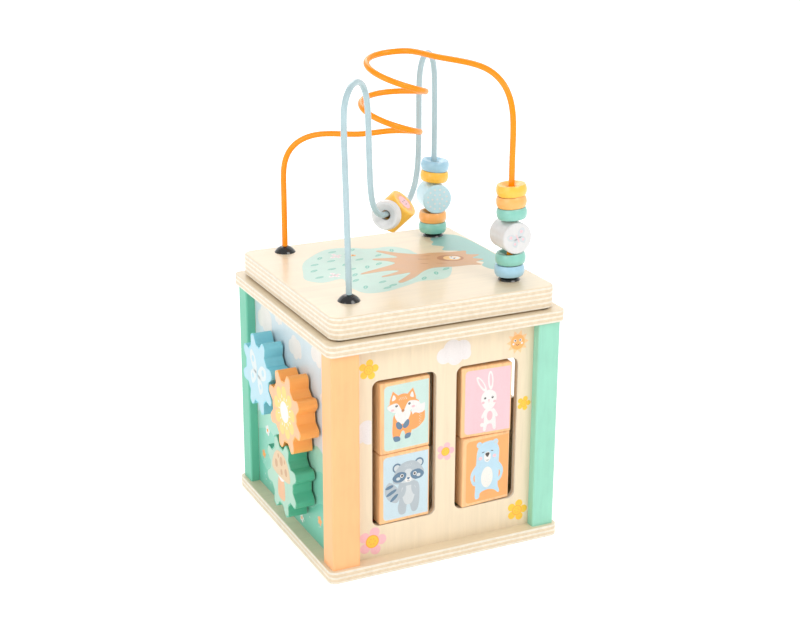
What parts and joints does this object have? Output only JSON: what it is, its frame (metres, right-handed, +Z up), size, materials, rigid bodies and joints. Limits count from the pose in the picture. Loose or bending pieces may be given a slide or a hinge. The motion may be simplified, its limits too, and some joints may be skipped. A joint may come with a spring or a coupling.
{
  "type": "wooden activity cube",
  "caption": "Wooden activity cube: bead maze on a lift-off lid, turning picture blocks, meshed gears, shape-sorting holes and a clock panel.",
  "frame": {"origin": "centre of the square base board's underside", "axes": "+Z up, -Y the side with the two picture windows, -X the side with the gears, +X the side with the sorting holes"},
  "size_m": [0.155, 0.15, 0.2858],
  "materials": {
    "birch_ply": "clear-coated plywood",
    "printed_sky": "printed, satin",
    "orange_paint": "satin paint",
    "mint_paint": "satin paint",
    "picture_block_wood": "printed faces",
    "gear_orange_paint": "satin paint",
    "gear_blue_paint": "satin paint",
    "gear_green_paint": "satin paint",
    "dowel_wood": "bare",
    "steel": "zinc plated",
    "clock_red_paint": "satin paint",
    "clock_blue_paint": "satin paint",
    "pin_plastic": "gloss",
    "pad_rubber": "matt",
    "cap_black": "gloss",
    "wire_orange_coat": "plastic-coated steel",
    "wire_blue_coat": "plastic-coated steel",
    "bead_green_paint": "satin paint",
    "bead_orange_paint": "satin paint",
    "bead_yellow_paint": "satin paint",
    "bead_blue_paint": "satin paint",
    "bead_pale_blue_paint": "satin paint",
    "bead_white_paint": "satin paint",
    "shape_red_paint": "satin paint",
    "shape_yellow_paint": "satin paint",
    "shape_blue_paint": "satin paint",
    "shape_green_paint": "satin paint"
  },
  "bodies": {
    "case": {"base_board": "birch_ply", "collar_frame": "birch_ply", "post_front_left": "orange_paint", "post_front_right": "mint_paint", "post_back_left": "mint_paint", "post_back_right": "orange_paint", "front_panel": "birch_ply", "gear_panel": "printed_sky", "sorter_panel": "birch_ply", "back_panel": "birch_ply", "window_rod_left": "steel", "window_rod_right": "steel", "gear_washers": "dowel_wood", "clock_pin": "pin_plastic", "clock_pin_nut": "pin_plastic", "base_screws": "steel", "collar_dowels": "dowel_wood"},
    "lid": {"lid_board": "birch_ply", "lid_locator": "birch_ply", "lid_screws": "steel", "lid_pads": "pad_rubber", "wire_caps": "cap_black", "wire_orange": "wire_orange_coat", "wire_blue": "wire_blue_coat"},
    "gear_orange_set": {"gear_orange": "gear_orange_paint", "axle_orange": "dowel_wood", "retainer_orange": "dowel_wood"},
    "gear_blue_set": {"gear_blue": "gear_blue_paint", "axle_blue": "dowel_wood", "retainer_blue": "dowel_wood"},
    "gear_green_set": {"gear_green": "gear_green_paint", "axle_green": "dowel_wood", "retainer_green": "dowel_wood"},
    "picture_fox": {"block_fox": "picture_block_wood"},
    "picture_raccoon": {"block_raccoon": "picture_block_wood"},
    "picture_rabbit": {"block_rabbit": "picture_block_wood"},
    "picture_bear": {"block_bear": "picture_block_wood"},
    "hour_pointer": {"hour_hand": "clock_blue_paint"},
    "minute_pointer": {"minute_hand": "clock_red_paint"},
    "loose_cylinder": {"cylinder_block": "shape_blue_paint"},
    "loose_square": {"square_block": "shape_yellow_paint"},
    "loose_triangle": {"triangle_block": "shape_red_paint"},
    "loose_hexagon": {"hexagon_block": "shape_green_paint"},
    "bead_c1": {"ring_c1_green": "bead_green_paint"},
    "bead_c2": {"ring_c2_orange": "bead_orange_paint"},
    "bead_c3": {"drum_c3_dotted": "bead_pale_blue_paint"},
    "bead_c4": {"ring_c4_yellow": "bead_yellow_paint"},
    "bead_c5": {"ring_c5_blue": "bead_blue_paint"},
    "bead_d1": {"ring_d1_blue": "bead_blue_paint"},
    "bead_d2": {"ring_d2_green": "bead_green_paint"},
    "bead_d3": {"drum_d3_butterfly": "bead_white_paint"},
    "bead_d4": {"ring_d4_green": "bead_green_paint"},
    "bead_d5": {"ring_d5_orange": "bead_orange_paint"},
    "bead_d6": {"ring_d6_yellow": "bead_yellow_paint"},
    "bead_v1": {"ring_v1_white": "bead_white_paint"},
    "bead_v2": {"drum_v2_yellow": "bead_yellow_paint"}
  },
  "joints": [
    {"name": "lid_lift", "type": "slide", "parent": "case", "child": "lid", "axis": [0, 0, 1], "range_m": [0, 0.08]},
    {"name": "gear_orange_turn", "type": "hinge", "parent": "case", "child": "gear_orange_set", "pos_m": [-0.074, -0.0204, 0.0873], "axis": [-1, 0, 0], "continuous": true},
    {"name": "gear_blue_turn", "type": "hinge", "parent": "case", "child": "gear_blue_set", "pos_m": [-0.074, 0.0232, 0.0955], "axis": [-1, 0, 0], "continuous": true},
    {"name": "gear_green_turn", "type": "hinge", "parent": "case", "child": "gear_green_set", "pos_m": [-0.074, -0.0131, 0.0435], "axis": [-1, 0, 0], "continuous": true},
    {"name": "picture_fox_turn", "type": "hinge", "parent": "case", "child": "picture_fox", "pos_m": [-0.0251, -0.061, 0.09315], "axis": [0, 0, 1], "continuous": true},
    {"name": "picture_raccoon_turn", "type": "hinge", "parent": "case", "child": "picture_raccoon", "pos_m": [-0.0251, -0.061, 0.04935], "axis": [0, 0, 1], "continuous": true},
    {"name": "picture_rabbit_turn", "type": "hinge", "parent": "case", "child": "picture_rabbit", "pos_m": [0.0281, -0.061, 0.09315], "axis": [0, 0, 1], "continuous": true},
    {"name": "picture_bear_turn", "type": "hinge", "parent": "case", "child": "picture_bear", "pos_m": [0.0281, -0.061, 0.04935], "axis": [0, 0, 1], "continuous": true},
    {"name": "hour_hand_turn", "type": "hinge", "parent": "case", "child": "hour_pointer", "pos_m": [0, 0.06815, 0.0725], "axis": [0, 1, 0], "continuous": true},
    {"name": "minute_hand_turn", "type": "hinge", "parent": "case", "child": "minute_pointer", "pos_m": [0, 0.0705, 0.0725], "axis": [0, 1, 0], "continuous": true},
    {"name": "lift_cylinder_block", "type": "slide", "parent": "case", "child": "loose_cylinder", "axis": [0, 0, 1], "range_m": [0, 0.06]},
    {"name": "lift_square_block", "type": "slide", "parent": "case", "child": "loose_square", "axis": [0, 0, 1], "range_m": [0, 0.06]},
    {"name": "lift_triangle_block", "type": "slide", "parent": "case", "child": "loose_triangle", "axis": [0, 0, 1], "range_m": [0, 0.06]},
    {"name": "lift_hexagon_block", "type": "slide", "parent": "case", "child": "loose_hexagon", "axis": [0, 0, 1], "range_m": [0, 0.06]},
    {"name": "slide_ring_c1_green", "type": "slide", "parent": "lid", "child": "bead_c1", "axis": [0, 0, 1], "range_m": [0, 0.006]},
    {"name": "slide_ring_c2_orange", "type": "slide", "parent": "bead_c1", "child": "bead_c2", "axis": [0, 0, 1], "range_m": [0, 0.006]},
    {"name": "spin_drum_c3_dotted", "type": "hinge", "parent": "bead_c2", "child": "bead_c3", "pos_m": [0.053, 0.0532, 0.18425], "axis": [0, 0, 1], "continuous": true},
    {"name": "slide_ring_c4_yellow", "type": "slide", "parent": "bead_c3", "child": "bead_c4", "axis": [0, 0, 1], "range_m": [0, 0.006]},
    {"name": "slide_ring_c5_blue", "type": "slide", "parent": "bead_c4", "child": "bead_c5", "axis": [0, 0, 1], "range_m": [0, 0.006]},
    {"name": "slide_ring_d1_blue", "type": "slide", "parent": "lid", "child": "bead_d1", "axis": [0, 0, 1], "range_m": [0, 0.005]},
    {"name": "slide_ring_d2_green", "type": "slide", "parent": "bead_d1", "child": "bead_d2", "axis": [0, 0, 1], "range_m": [0, 0.005]},
    {"name": "spin_drum_d3_butterfly", "type": "hinge", "parent": "bead_d2", "child": "bead_d3", "pos_m": [0.0513, -0.0482, 0.18549], "axis": [0, 0, 1], "continuous": true},
    {"name": "slide_ring_d4_green", "type": "slide", "parent": "bead_d3", "child": "bead_d4", "axis": [0, 0, 1], "range_m": [0, 0.005]},
    {"name": "slide_ring_d5_orange", "type": "slide", "parent": "bead_d4", "child": "bead_d5", "axis": [0, 0, 1], "range_m": [0, 0.005]},
    {"name": "slide_ring_d6_yellow", "type": "slide", "parent": "bead_d5", "child": "bead_d6", "axis": [0, 0, 1], "range_m": [0, 0.005]},
    {"name": "spin_ring_v1_white", "type": "hinge", "parent": "lid", "child": "bead_v1", "pos_m": [-0.0072, -0.00442, 0.19331], "axis": [0.7189, 0.688, -0.0995], "continuous": true},
    {"name": "spin_drum_v2_yellow", "type": "hinge", "parent": "lid", "child": "bead_v2", "pos_m": [0.00203, 0.00443, 0.19203], "axis": [0.7189, 0.688, -0.0995], "continuous": true}
  ],
  "couplings": [
    {"joint": "gear_blue_turn", "follows": "gear_orange_turn", "ratio": -1},
    {"joint": "gear_green_turn", "follows": "gear_orange_turn", "ratio": -1}
  ]
}
